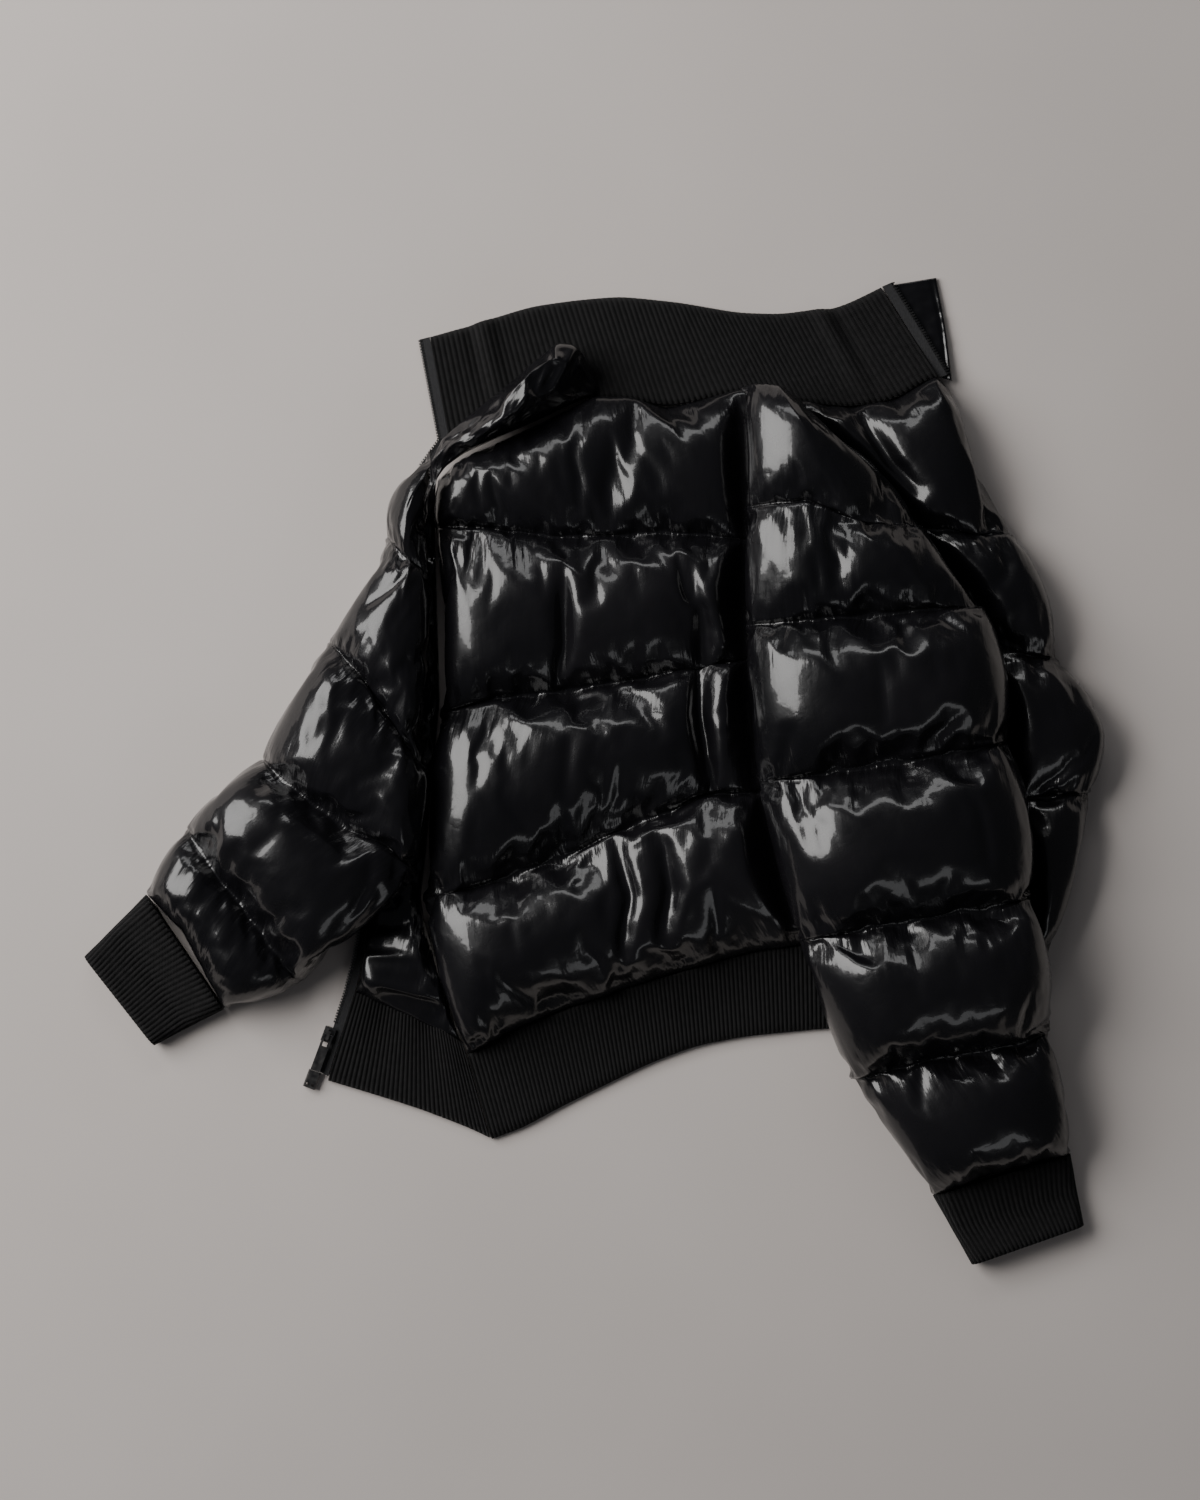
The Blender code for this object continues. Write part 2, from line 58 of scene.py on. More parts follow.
# %% [markdown]
# ## Camera, floor and lights
#
# The jacket is seen from straight above, so the camera hangs over it and looks down. A
# long lens from three metres keeps the perspective gentle, as in a flat-lay photo.
#
# Black gloss shows nothing but reflections. One large soft light on the upper left gives
# the broad pale sheen, a narrow bright one gives the thin glints on the wrinkles, and the
# rest of the room stays dark so that the cloth does too.

# %% Camera and floor
VIEW_HEIGHT = 3.0
FRAME_TALL = 1.170
CAMERA_AT = (0.006, 0.016)


def make_camera():
    data = bpy.data.cameras.new("overhead_camera")
    data.sensor_fit = "VERTICAL"
    data.sensor_height = 36.0
    data.lens = 36.0 * VIEW_HEIGHT / FRAME_TALL
    camera = bpy.data.objects.new("overhead_camera", data)
    camera.location = (*CAMERA_AT, VIEW_HEIGHT + 0.03)
    bpy.context.collection.objects.link(camera)
    bpy.context.scene.camera = camera


def shader_of(material):
    return material.node_tree.nodes["Principled BSDF"]


def make_floor():
    material = bpy.data.materials.new("pale_floor")
    material.use_nodes = True
    nodes = material.node_tree.nodes
    links = material.node_tree.links
    shader = shader_of(material)
    shader.inputs["Roughness"].default_value = 0.85
    place = nodes.new("ShaderNodeTexCoord")
    grain = nodes.new("ShaderNodeTexNoise")
    grain.inputs["Scale"].default_value = 3.0
    grain.inputs["Detail"].default_value = 3.0
    tone = nodes.new("ShaderNodeValToRGB")
    tone.color_ramp.elements[0].position = 0.3
    tone.color_ramp.elements[0].color = (0.60, 0.550, 0.520, 1)
    tone.color_ramp.elements[1].position = 0.7
    tone.color_ramp.elements[1].color = (0.64, 0.590, 0.560, 1)
    links.new(place.outputs["Object"], grain.inputs["Vector"])
    links.new(grain.outputs["Fac"], tone.inputs["Fac"])
    links.new(tone.outputs["Color"], shader.inputs["Base Color"])
    bm = bmesh.new()
    bmesh.ops.create_grid(bm, x_segments=8, y_segments=8, size=3.0)
    mesh = bpy.data.meshes.new("floor")
    bm.to_mesh(mesh)
    bm.free()
    floor = bpy.data.objects.new("floor", mesh)
    floor.data.materials.append(material)
    bpy.context.collection.objects.link(floor)
    floor.location.z = -0.0006


make_camera()
make_floor()
print("camera", VIEW_HEIGHT, "m above the floor")

# %% Lights
Light = namedtuple("Light", "name at wide tall watts warmth")
LIGHTS = [
    Light("key", (-2.0, 0.9, 1.75), 2.3, 2.0, 104, (1.0, 0.985, 0.97)),
    Light("edge", (-0.2, 2.3, 1.5), 1.7, 0.5, 9, (1.0, 1.0, 1.0)),
    Light("low_fill", (1.2, -2.0, 1.6), 1.4, 0.6, 3, (0.97, 0.98, 1.0)),
]


def make_lights():
    for light in LIGHTS:
        data = bpy.data.lights.new(light.name, "AREA")
        data.shape = "RECTANGLE"
        data.size = light.wide
        data.size_y = light.tall
        data.energy = light.watts
        data.color = light.warmth
        lamp = bpy.data.objects.new(light.name, data)
        lamp.location = light.at
        aim = Vector((0, 0, 0.03)) - Vector(light.at)
        lamp.rotation_euler = aim.to_track_quat("-Z", "Y").to_euler()
        bpy.context.collection.objects.link(lamp)
    world = bpy.data.worlds.new("dim_room")
    world.use_nodes = True
    world.node_tree.nodes["Background"].inputs["Color"].default_value = (0.9, 0.92, 1.0, 1)
    world.node_tree.nodes["Background"].inputs["Strength"].default_value = 0.05
    bpy.context.scene.world = world


make_lights()
print(len(LIGHTS), "lights")

# %% [markdown]
# ## Finishes
#
# Four materials cover the jacket. The shell is nylon with a clear glossy coat: nearly
# black, sharp in its reflections, and crinkled. Its puckers run straight out from the
# stitched seams, so a point attribute called "pucker", 1 at a seam and 0 away from it,
# tells the bump where they are. The knit, the tape and the metal are quieter.

# %% Material helpers


def new_material(name):
    material = bpy.data.materials.new(name)
    material.use_nodes = True
    return material, material.node_tree.nodes, material.node_tree.links, shader_of(material)


def noise_node(nodes, links, vector, scale, detail=3.0, rough=0.5):
    node = nodes.new("ShaderNodeTexNoise")
    node.inputs["Scale"].default_value = scale
    node.inputs["Detail"].default_value = detail
    node.inputs["Roughness"].default_value = rough
    links.new(vector, node.inputs["Vector"])
    return node


def stretched(nodes, links, vector, scale):
    node = nodes.new("ShaderNodeMapping")
    node.inputs["Scale"].default_value = scale
    links.new(vector, node.inputs["Vector"])
    return node.outputs["Vector"]


def math_node(nodes, links, operation, a, b):
    node = nodes.new("ShaderNodeMath")
    node.operation = operation
    for socket, value in zip(node.inputs, (a, b)):
        if isinstance(value, (int, float)):
            socket.default_value = value
        else:
            links.new(value, socket)
    return node.outputs["Value"]


def ramp_node(nodes, links, value, low, high, low_at=0.3, high_at=0.7):
    node = nodes.new("ShaderNodeValToRGB")
    node.color_ramp.elements[0].position = low_at
    node.color_ramp.elements[0].color = (*low, 1)
    node.color_ramp.elements[1].position = high_at
    node.color_ramp.elements[1].color = (*high, 1)
    links.new(value, node.inputs["Fac"])
    return node.outputs["Color"]


def bump_node(nodes, links, height, distance, strength=1.0, after=None):
    node = nodes.new("ShaderNodeBump")
    node.inputs["Distance"].default_value = distance
    node.inputs["Strength"].default_value = strength
    links.new(height, node.inputs["Height"])
    if after is not None:
        links.new(after, node.inputs["Normal"])
    return node.outputs["Normal"]


# %% Shell, knit, tape, thread and metal


def make_shell(name):
    material, nodes, links, shader = new_material(name)
    shader.inputs["Specular IOR Level"].default_value = 0.35
    shader.inputs["Coat Weight"].default_value = 0.6
    shader.inputs["Coat Roughness"].default_value = 0.08
    shader.inputs["Coat IOR"].default_value = 1.5
    place = nodes.new("ShaderNodeTexCoord").outputs["Object"]
    cloth = nodes.new("ShaderNodeUVMap")
    cloth.uv_map = "cloth"
    near_seam = nodes.new("ShaderNodeAttribute")
    near_seam.attribute_name = "pucker"
    broad = noise_node(nodes, links, place, 9.0, 2.0)
    colour = ramp_node(nodes, links, broad.outputs["Fac"], (0.004, 0.004, 0.005), (0.008, 0.0075, 0.009))
    links.new(colour, shader.inputs["Base Color"])
    rub = noise_node(nodes, links, place, 38.0, 4.0)
    rough = nodes.new("ShaderNodeMapRange")
    rough.inputs["To Min"].default_value = 0.20
    rough.inputs["To Max"].default_value = 0.34
    links.new(rub.outputs["Fac"], rough.inputs["Value"])
    links.new(rough.outputs["Result"], shader.inputs["Roughness"])
    gathers = noise_node(nodes, links, stretched(nodes, links, cloth.outputs["UV"], (150, 22, 1)), 1.0, 3.0)
    gathered = math_node(nodes, links, "MULTIPLY", gathers.outputs["Fac"], near_seam.outputs["Fac"])
    crinkle = noise_node(nodes, links, place, 46.0, 3.0, 0.45)
    centred = math_node(nodes, links, "SUBTRACT", crinkle.outputs["Fac"], 0.5)
    ridged = math_node(nodes, links, "ABSOLUTE", centred, 0)
    weave = noise_node(nodes, links, place, 900.0, 1.0)
    first = bump_node(nodes, links, gathered, 0.0022)
    second = bump_node(nodes, links, ridged, 0.0011, 0.5, first)
    third = bump_node(nodes, links, weave.outputs["Fac"], 0.00006, 0.6, second)
    links.new(third, shader.inputs["Normal"])
    links.new(second, shader.inputs["Coat Normal"])
    return material


def make_knit(name):
    """Columns of V-shaped stitches, drawn along and across the band by its own UV map."""
    material, nodes, links, shader = new_material(name)
    shader.inputs["Roughness"].default_value = 0.92
    shader.inputs["Specular IOR Level"].default_value = 0.25
    shader.inputs["Sheen Weight"].default_value = 0.06
    shader.inputs["Sheen Roughness"].default_value = 0.5
    cloth = nodes.new("ShaderNodeUVMap")
    cloth.uv_map = "cloth"
    place = nodes.new("ShaderNodeTexCoord").outputs["Object"]
    fuzz = noise_node(nodes, links, place, 260.0, 3.0)
    colour = ramp_node(nodes, links, fuzz.outputs["Fac"], (0.004, 0.004, 0.0042), (0.010, 0.0095, 0.010))
    links.new(colour, shader.inputs["Base Color"])
    split = nodes.new("ShaderNodeSeparateXYZ")
    links.new(cloth.outputs["UV"], split.inputs["Vector"])
    slant = math_node(nodes, links, "PINGPONG", split.outputs["X"], 0.00105)
    along = math_node(nodes, links, "ADD", split.outputs["Y"], slant)
    rows = math_node(nodes, links, "SINE", math_node(nodes, links, "MULTIPLY", along, 2 * pi / 0.0017), 0)
    stitch = bump_node(nodes, links, rows, 0.00022, 0.7)
    hair = bump_node(nodes, links, fuzz.outputs["Fac"], 0.0003, 0.5, stitch)
    links.new(hair, shader.inputs["Normal"])
    return material


def make_tape(name):
    material, nodes, links, shader = new_material(name)
    shader.inputs["Roughness"].default_value = 0.8
    place = nodes.new("ShaderNodeTexCoord").outputs["Object"]
    threads = noise_node(nodes, links, stretched(nodes, links, place, (1400, 500, 500)), 1.0, 2.0)
    colour = ramp_node(nodes, links, threads.outputs["Fac"], (0.008, 0.008, 0.009), (0.022, 0.022, 0.024))
    links.new(colour, shader.inputs["Base Color"])
    links.new(bump_node(nodes, links, threads.outputs["Fac"], 0.0002), shader.inputs["Normal"])
    return material


def make_thread(name):
    material, nodes, links, shader = new_material(name)
    shader.inputs["Roughness"].default_value = 0.45
    place = nodes.new("ShaderNodeTexCoord").outputs["Object"]
    ply = noise_node(nodes, links, place, 700.0, 2.0)
    colour = ramp_node(nodes, links, ply.outputs["Fac"], (0.012, 0.012, 0.014), (0.035, 0.035, 0.038))
    links.new(colour, shader.inputs["Base Color"])
    links.new(bump_node(nodes, links, ply.outputs["Fac"], 0.0001), shader.inputs["Normal"])
    return material


def make_gunmetal(name):
    material, nodes, links, shader = new_material(name)
    shader.inputs["Metallic"].default_value = 1.0
    place = nodes.new("ShaderNodeTexCoord").outputs["Object"]
    wear = noise_node(nodes, links, place, 210.0, 4.0)
    colour = ramp_node(nodes, links, wear.outputs["Fac"], (0.10, 0.10, 0.105), (0.19, 0.185, 0.18))
    links.new(colour, shader.inputs["Base Color"])
    rough = nodes.new("ShaderNodeMapRange")
    rough.inputs["To Min"].default_value = 0.2
    rough.inputs["To Max"].default_value = 0.42
    links.new(wear.outputs["Fac"], rough.inputs["Value"])
    links.new(rough.outputs["Result"], shader.inputs["Roughness"])
    links.new(bump_node(nodes, links, wear.outputs["Fac"], 0.00008), shader.inputs["Normal"])
    return material


SHELL = make_shell("black_gloss_nylon")
KNIT = make_knit("black_rib_knit")
TAPE = make_tape("black_zip_tape")
THREAD = make_thread("black_thread")
METAL = make_gunmetal("gunmetal")
print("finishes:", [m.name for m in (SHELL, KNIT, TAPE, THREAD, METAL)])

# %% [markdown]
# ## Drawing lines on the cloth
#
# A seam is a polyline read by its share of length. The same few helpers read every table.

# %% Reading lines and tables


def mix(a, b, share):
    return a + (b - a) * share


def length_of(line):
    return sum(hypot(b[0] - a[0], b[1] - a[1]) for a, b in zip(line, line[1:]))


def point_at(line, share):
    """The point at a share, 0 to 1, of a polyline's length."""
    left = share * length_of(line)
    for start, end in zip(line, line[1:]):
        length = hypot(end[0] - start[0], end[1] - start[1])
        if left <= length or end is line[-1]:
            part = min(left / length, 1.0)
            return mix(start[0], end[0], part), mix(start[1], end[1], part)
        left -= length
    return line[-1]


def read(table, at):
    """Straight-line reading of (station, value) pairs sorted by rising station."""
    return float(np.interp(at, [pair[0] for pair in table], [pair[1] for pair in table]))


def smooth_line(line, spacing=6.0):
    """The polyline as points a few millimetres apart, with its corners rounded."""
    count = max(8, int(length_of(line) / spacing))
    points = np.array([point_at(line, i / count) for i in range(count + 1)])
    for _ in range(3):
        points[1:-1] = points[1:-1] * 0.5 + (points[:-2] + points[2:]) * 0.25
    return [tuple(point) for point in points]


def wander(x, y, scale, seed=0.0):
    """Smooth noise from -1 to 1, with features about scale millimetres wide."""
    return noise.noise(Vector((x / scale + seed, y / scale - seed, seed * 1.7)))


# %% Making a mesh from grids of points


def add_object(name, bm, finish):
    """Turn a finished bmesh into an object that rides on the jacket."""
    mesh = bpy.data.meshes.new(name)
    bm.to_mesh(mesh)
    bm.free()
    mesh.shade_smooth()
    made = bpy.data.objects.new(name, mesh)
    made.data.materials.append(finish)
    bpy.context.collection.objects.link(made)
    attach(made, JACKET)
    return made


def slab(name, top, bottom, finish, pucker=None):
    """A closed solid between two grids of points in millimetres, with a UV map in metres."""
    top = np.asarray(top, dtype=float)
    bottom = np.asarray(bottom, dtype=float)
    rows, columns = top.shape[:2]
    bm = bmesh.new()
    seam_layer = bm.verts.layers.float.new("pucker")
    uv = bm.loops.layers.uv.new("cloth")
    bmesh.ops.create_grid(bm, x_segments=columns - 1, y_segments=rows - 1, size=0.5)
    upper = list(bm.verts)
    made = bmesh.ops.extrude_face_region(bm, geom=bm.faces[:])["geom"]
    lower = [item for item in made if isinstance(item, bmesh.types.BMVert)]
    widths = np.linalg.norm(np.diff(top, axis=1), axis=2)
    across = np.concatenate([np.zeros((rows, 1)), np.cumsum(widths, axis=1)], axis=1)
    middle = columns // 2
    heights = np.linalg.norm(np.diff(top[:, middle], axis=0), axis=1)
    down = np.concatenate([[0.0], np.cumsum(heights)])
    flat = {}
    spot = {}
    for verts, grid in ((upper, top), (lower, bottom)):
        for vert in verts:
            column = round((vert.co.x + 0.5) * (columns - 1))
            row = round((vert.co.y + 0.5) * (rows - 1))
            spot[vert] = (row, column)
            vert.co = Vector(grid[row][column]) * MM
            flat[vert] = (across[row][column] * MM, down[row] * MM)
            if pucker is not None:
                vert[seam_layer] = pucker[row][column]
    for face in bm.faces:
        for loop in face.loops:
            loop[uv].uv = flat[loop.vert]
    bmesh.ops.recalc_face_normals(bm, faces=bm.faces)
    bm.verts.index_update()
    numbers = np.zeros((2, rows, columns), dtype=int)
    for layer, verts in enumerate((upper, lower)):
        for vert in verts:
            row, column = spot[vert]
            numbers[layer, row, column] = vert.index
    return add_object(name, bm, finish), numbers


# %% [markdown]
# ## Quilted panels
#
# A quilted panel is a stack of channels. Modelled by hand, each channel is only a smooth
# tube, and real puffer cloth is never smooth: the cloth is longer than the seam it is
# gathered into, so it buckles into puckers. The simulation makes those for nothing. The
# panel starts a little flat, its stitched seams and its underside are held, the cloth is
# made a few per cent too large, and pressure blows it up.
#
# Large folds are the wearer's and the bed's doing, not the fill's, so they are drawn
# first, as soft troughs and ridges of uneven length and depth.

# %% Creases drawn along lines
# line: where the crease runs; half_width and depth in millimetres (a ridge has depth < 0).
Crease = namedtuple("Crease", "line half_width depth")


def distance_to(points, line):
    """The distance from each of many (x, y) points to a polyline, and the share along it."""
    best = np.full(len(points), 1e9)
    along = np.zeros(len(points))
    total = length_of(line)
    done = 0.0
    for start, end in zip(line, line[1:]):
        start = np.array(start, dtype=float)
        step = np.array(end, dtype=float) - start
        length = float(np.hypot(*step))
        part = np.clip(((points - start) @ step) / length ** 2, 0, 1)
        away = np.hypot(*(points - start - part[:, None] * step).T)
        nearer = away < best
        best[nearer] = away[nearer]
        along[nearer] = (done + part[nearer] * length) / total
        done += length
    return best, along


def crease_heights(points, creases):
    """How much the creases lower each point. Each crease fades out towards its two ends."""
    lowered = np.zeros(len(points))
    for crease in creases:
        away, along = distance_to(points, crease.line)
        fade = np.sin(np.pi * np.clip(along, 0.02, 0.98)) ** 0.6
        profile = np.exp(-(away / crease.half_width) ** 2)
        lowered += crease.depth * profile * fade
    return lowered


# %% Building a quilted panel
Seam = namedtuple("Seam", "line seam puff swell_left swell_right")
# tuck: how far the underside stays inside the outline; rim: the outline's height as a
# share of the height beside it; reach: the width over which the padding rises.
Side = namedtuple("Side", "tuck rim reach")
# cell: the mesh spacing in millimetres; under(x, y): the height of what the panel lies on;
# press(x, y, height): the height left after what lies on the panel has pressed it.
Panel = namedtuple("Panel", "name seams cell left right under press creases")


# Puckers fade out over PUCKER_REACH from a seam; the small gathers drawn before the
# simulation, GATHER_HEIGHT tall, fade out sooner. All in millimetres.
PUCKER_REACH = 16.0
GATHER_REACH = 9.0
GATHER_HEIGHT = 1.5
THINNEST = 1.0


def arch(share):
    """A channel's section: 0 at both seams, 1 between them, with full shoulders."""
    return sqrt(max(0.0, 1.0 - abs(2.0 * share - 1.0) ** 2.3))


def side_rise(distance, reach):
    """A quarter circle that climbs from 0 at an edge to 1 at its reach."""
    return 1.0 if distance >= reach else sqrt(max(0.0, 1.0 - (1.0 - distance / reach) ** 2))


def eased(count):
    """Shares from 0 to 1, closer together at both ends."""
    even = np.linspace(0, 1, count + 1)
    return (even + (1 - np.cos(np.pi * even)) / 2) / 2


def quilt_grids(panel, slack=0.80):
    """The panel's top and underside before it is inflated, and its seam rows."""
    widest = max(length_of(seam.line) for seam in panel.seams)
    shares = eased(int(widest / panel.cell))
    top, bottom, pucker, seam_rows = [], [], [], []
    for seam, following in zip(panel.seams, panel.seams[1:]):
        deep = hypot(*(np.mean(seam.line, axis=0) - np.mean(following.line, axis=0)))
        steps = max(4, int(deep / panel.cell))
        seam_rows.append(len(top))
        last = following is panel.seams[-1]
        for share in eased(steps)[: None if last else -1]:
            share = float(share)
            bow = sin(pi * share)
            width = mix(length_of(seam.line), length_of(following.line), share)
            low_line = mix(seam.seam, following.seam, share)
            high = low_line + (seam.puff - low_line) * arch(share) * slack
            near = min(share, 1 - share) * deep
            top_row, bottom_row, pucker_row = [], [], []
            for across in shares:
                a = point_at(seam.line, across)
                b = point_at(following.line, across)
                swell = mix(seam.swell_left, seam.swell_right, across) * bow
                x = mix(a[0], b[0], share) + swell
                y = mix(a[1], b[1], share)
                from_left = across * width
                from_right = (1 - across) * width
                low = panel.under(x, y)
                rise = min(side_rise(from_left, panel.left.reach), side_rise(from_right, panel.right.reach))
                rim = panel.left.rim if across < 0.5 else panel.right.rim
                body = max(high - low, 5.0)
                level = low + body * mix(rim, 1.0, rise)
                gather = wander(x, y * 0.25, 6.0, 3.1) * GATHER_HEIGHT
                gather = gather * np.exp(-near / GATHER_REACH) * min(1.0, near)
                edge = min(side_rise(from_left, max(panel.left.tuck, 0.1)),
                           side_rise(from_right, max(panel.right.tuck, 0.1)))
                lower = low + (level - low - THINNEST) * (1 - edge)
                top_row.append((x, y, level + gather))
                bottom_row.append((x, y, lower))
                pucker_row.append(float(np.exp(-near / PUCKER_REACH)))
            top.append(top_row)
            bottom.append(bottom_row)
            pucker.append(pucker_row)
    seam_rows.append(len(top) - 1)
    top = np.array(top)
    bottom = np.array(bottom)
    spots = top[:, :, :2].reshape(-1, 2)
    held_back = 1 - np.array(pucker).reshape(-1) ** 2
    lowered = crease_heights(spots, panel.creases) * held_back
    top[:, :, 2] = top[:, :, 2] - lowered.reshape(top.shape[:2])
    top[:, :, 2] = np.maximum(top[:, :, 2], bottom[:, :, 2] + THINNEST)
    return top, bottom, pucker, seam_rows


CLOTH_FRAMES = 20
CLOTH_STIFFNESS = 10.0


def inflate(piece, held, pressure, growth, cap):
    """Blow the cloth up with its seams held, and stop any point moving more than the cap."""
    scene = bpy.context.scene
    before = np.empty(len(piece.data.vertices) * 3)
    piece.data.vertices.foreach_get("co", before)
    group = piece.vertex_groups.new(name="held")
    group.add([int(number) for number in held], 1.0, "REPLACE")
    cloth = piece.modifiers.new("inflate", "CLOTH")
    cloth.settings.quality = 5
    cloth.settings.mass = 0.12
    cloth.settings.tension_stiffness = CLOTH_STIFFNESS
    cloth.settings.compression_stiffness = CLOTH_STIFFNESS
    cloth.settings.shear_stiffness = CLOTH_STIFFNESS / 3
    cloth.settings.bending_stiffness = 0.02
    cloth.settings.vertex_group_mass = "held"
    cloth.settings.use_pressure = True
    cloth.settings.uniform_pressure_force = pressure
    cloth.settings.shrink_min = -growth
    cloth.settings.effector_weights.gravity = 0
    cloth.collision_settings.use_collision = False
    cloth.point_cache.frame_start = 1
    cloth.point_cache.frame_end = CLOTH_FRAMES
    for step in range(1, CLOTH_FRAMES + 1):
        scene.frame_set(step)
    shaped = piece.evaluated_get(bpy.context.evaluated_depsgraph_get()).data
    after = np.empty_like(before)
    shaped.vertices.foreach_get("co", after)
    moved = (after - before).reshape(-1, 3)
    far = np.linalg.norm(moved, axis=1, keepdims=True)
    moved *= np.minimum(1.0, cap * MM / np.maximum(far, 1e-9))
    piece.modifiers.remove(cloth)
    piece.vertex_groups.remove(group)
    piece.data.vertices.foreach_set("co", before + moved.ravel())
    piece.data.update()
    scene.frame_set(1)
    most, mean = round(float(far.max()) / MM, 1), round(float(far.mean()) / MM, 1)
    print(piece.name, "moved at most", most, "mm, mean", mean)


def settle(piece, numbers, press):
    """Keep the top out of what lies on it, and every point at or above the floor."""
    points = np.empty(len(piece.data.vertices) * 3)
    piece.data.vertices.foreach_get("co", points)
    points = points.reshape(-1, 3)
    for number in numbers[0].ravel():
        x, y, z = points[number] / MM
        points[number, 2] = press(x, y, z) * MM
    points[:, 2] = np.maximum(points[:, 2], 0.0)
    piece.data.vertices.foreach_set("co", points.ravel())
    piece.data.update()


def subdivide(piece):
    finer = piece.modifiers.new("finer", "SUBSURF")
    finer.levels = 1
    finer.render_levels = 1


def make_panel(panel, node, pressure=3.0, growth=0.07, cap=14.0):
    """Draw, inflate and settle one panel; cap is the farthest that a point may move."""
    top, bottom, pucker, seam_rows = quilt_grids(panel)
    piece, numbers = slab(panel.name, top, bottom, SHELL, pucker)
    resting_at = np.vectorize(panel.under)(bottom[:, :, 0], bottom[:, :, 1])
    flat_under = numbers[1][np.abs(bottom[:, :, 2] - resting_at) < 0.01]
    held = set(numbers[0][seam_rows].ravel()) | set(flat_under.ravel())
    held |= set(numbers[1][seam_rows].ravel()) | set(numbers[1][0]) | set(numbers[1][-1])
    inflate(piece, held, pressure, growth, cap)
    settle(piece, numbers, panel.press)
    subdivide(piece)
    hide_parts(node)
    print(panel.name, top.shape[0], "by", top.shape[1], "points")
    return piece, numbers, seam_rows


# %% [markdown]
# ## The seams
#
# The seams are the pattern of the jacket: where they run, how high they lie and how far
# the cloth puffs up between them. A sleeve lies on what is beneath it, so its seams lie
# higher than those of the back.

# %% The panels' seams
# line: the stitched seam from left to right; seam: its height; puff: the height of the
# channel after it; swell_left, swell_right: how far that channel's sides bow out.
SHOULDER = [(-121, 228), (-108, 241), (-94, 249), (-76, 257), (-45, 271), (-9, 288), (2, 293)]
NECK = [(26, 292), (58, 285), (76, 289), (113, 298), (150, 291)]
HEM_SEAM = [(-98, -223), (-56, -202), (-19, -187), (50, -164), (125, -143), (240, -128)]
NECK_RIGHT = [(150.6, 290.6), (203, 285), (222, 289), (237, 291), (252, 300), (269, 310), (281, 299)]

BACK_SEAMS = [
    Seam(SHOULDER + NECK, 15, 46, 0, 0),
    Seam([(-123, 191), (-78, 188), (-30, 182), (55, 185), (118, 182), (206, 187)], 26, 54, 3, 0),
    Seam([(-119, 45), (-75, 55), (25, 69), (122, 86), (235, 104)], 26, 55, 0, 0),
    Seam([(-133, -100), (-75, -86), (-25, -69), (37, -42), (87, -20), (125, -17), (238, -4)],
         26, 50, -2, 0),
    Seam(HEM_SEAM, 13, 13, 0, 0),
]
FRONT_RIGHT_SEAMS = [
    Seam(NECK_RIGHT, 14, 44, 0, -4),
    Seam([(206.6, 186.6), (257, 189), (331, 184)], 26, 44, 0, 8),
    Seam([(235.6, 104), (303, 95), (364, 88)], 25, 46, 0, 20),
    Seam([(238.6, -4), (330, -22), (390, -18)], 25, 44, 0, 4),
    Seam([(240.6, -128), (300, -140), (355, -150)], 15, 15, 0, 0),
]
SLEEVE_RIGHT_SEAMS = [
    Seam([(115, 299), (140, 299), (163, 289)], 44, 92, 2, 5),
    Seam([(120, 204), (165, 207), (211, 192), (257, 189)], 72, 92, 0, -4),
    Seam([(119, 112), (161, 115), (211, 119), (259, 125), (303, 127)], 71, 102, 0, 6),
    Seam([(129, -8), (173, -3), (247, 8), (320, 22)], 72, 100, 0, 7),
    Seam([(160, -131), (211, -122), (284, -108), (340, -98)], 68, 92, 0, 3),
    Seam([(202, -241), (261, -225), (330, -211), (356, -204)], 44, 62, 2, 2),
    Seam([(267, -333), (318, -315), (375, -300)], 24, 24, 0, 0),
]
SLEEVE_LEFT_SEAMS = [
    Seam([(-125.5, 250), (-126, 231)], 46, 70, -12, 0),
    Seam([(-160, 182), (-141, 162), (-125.5, 150)], 54, 74, 2, 0),
    Seam([(-205, 100), (-177, 70), (-150, 31), (-127, -2)], 50, 76, -2, 0),
    Seam([(-257, 8), (-228, -16), (-193, -43), (-161, -58), (-135, -80)], 48, 72, -4, 4),
    Seam([(-317, -46), (-294, -78), (-267, -113), (-229, -165)], 36, 52, -2, 6),
    Seam([(-350, -97), (-321, -127), (-289, -187)], 24, 24, 0, 0),
]

# %% What lies on what
PRESSED_TOP = 28.0
FRONT_TOP = 20.3


def side_table(seams, end):
    """A panel's side as (y, x) pairs, from the lowest up; end is 0 for left, -1 for right."""
    return sorted((seam.line[end][1], seam.line[end][0]) for seam in seams)


SLEEVE_EDGES = side_table(SLEEVE_RIGHT_SEAMS, 0), side_table(SLEEVE_RIGHT_SEAMS, -1)
FRONT_EDGE = [(-174, -186), (-145, -179), (-70, -167), (-10, -156), (54, -146), (150, -139), (205, -133)]


def under_nothing(x, y):
    return 0.0


def under_right_sleeve(x, y):
    """The sleeve lies on the back, then over the hem, then on the surface."""
    return read([(-262, 0), (-205, 12), (-150, PRESSED_TOP + 0.3)], y)


def under_left_sleeve(x, y):
    """The sleeve lies on the left front and drapes over its edge to the surface."""
    outside = read(FRONT_EDGE, y) - x
    return read([(4, FRONT_TOP), (26, 0)], outside) + read([(190, 0), (231, 8)], y)


def pressed(x, y, height):
    outside = max(read(SLEEVE_EDGES[0], y) - x, x - read(SLEEVE_EDGES[1], y))
    return min(height, PRESSED_TOP + max(0.0, outside - 2) * 1.2)


def free(x, y, height):
    return height


